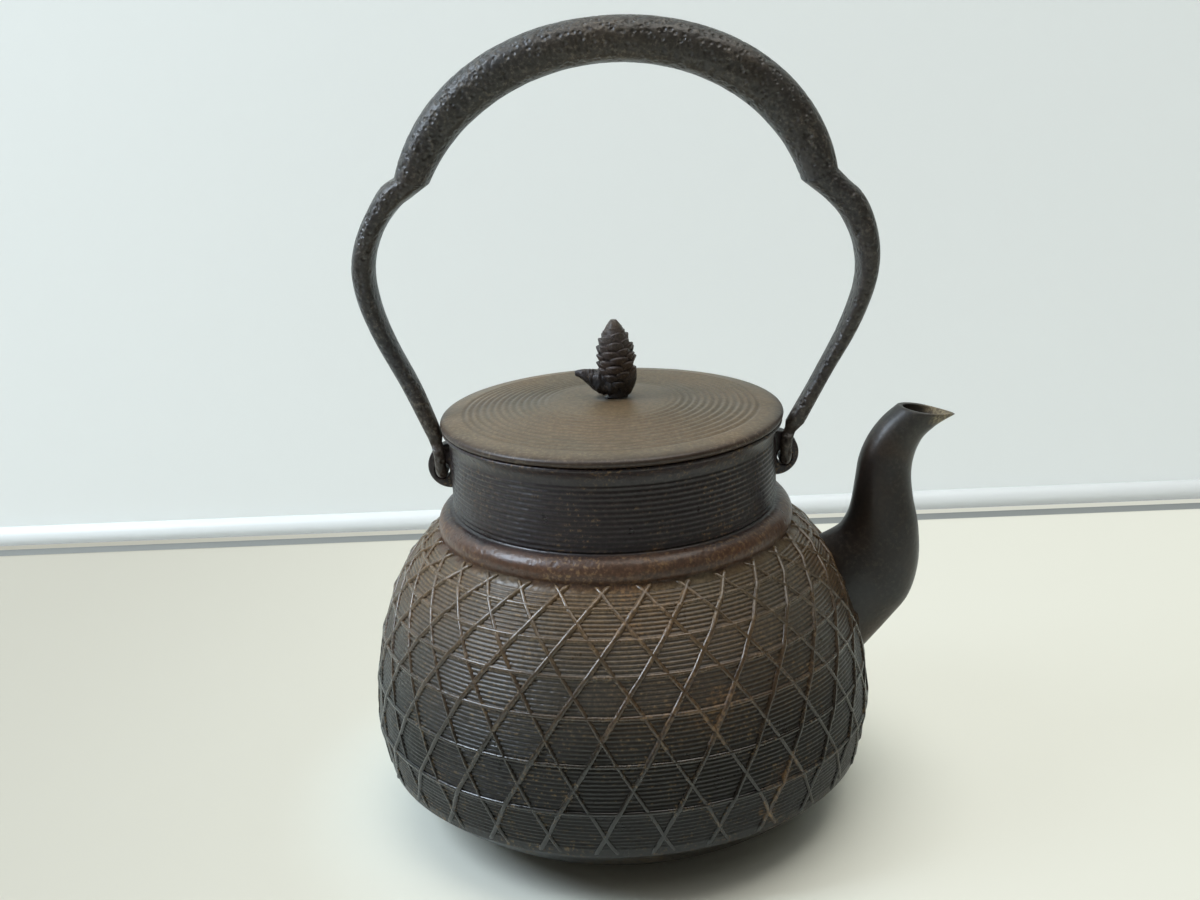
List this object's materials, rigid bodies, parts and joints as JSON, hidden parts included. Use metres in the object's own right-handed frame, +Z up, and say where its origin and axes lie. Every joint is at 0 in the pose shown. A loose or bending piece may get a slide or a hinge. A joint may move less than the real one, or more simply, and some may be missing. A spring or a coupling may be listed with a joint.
{
  "type": "cast iron kettle",
  "caption": "Round-bellied cast iron kettle with a curved spout, a lift-off lid with a pine-cone knob and an ogee iron handle hooked into two ears.",
  "frame": {"origin": "centre of the flat base, on the axis of the belly", "axes": "+Z up, +X towards the spout, handle in the XZ plane"},
  "size_m": [0.1972, 0.1694, 0.2595],
  "materials": {
    "body_iron": "dark cast skin with rust in the grooves",
    "lid_iron": "turned, worn satin, olive brown",
    "knob_iron": "dark, worn on the scale tips",
    "washer_brass": "dull, tarnished",
    "handle_iron": "forged, pitted, dark grey brown"
  },
  "bodies": {
    "kettle": {"kettle_body": "body_iron", "kettle_shoulder": "body_iron", "kettle_base": "body_iron", "kettle_neck": "body_iron", "kettle_spout": "body_iron"},
    "lid": {"lid": "lid_iron", "lid_knob": "knob_iron", "knob_washer": "washer_brass"},
    "handle": {"handle": "handle_iron"}
  },
  "joints": [
    {"name": "lid_lift", "type": "slide", "parent": "kettle", "child": "lid", "axis": [0, 0, 1], "range_m": [0, 0.07]},
    {"name": "handle_lean", "type": "hinge", "parent": "kettle", "child": "handle", "pos_m": [0, 0, 0.1176], "axis": [1, 0, 0], "range_deg": [-8, 8]}
  ]
}
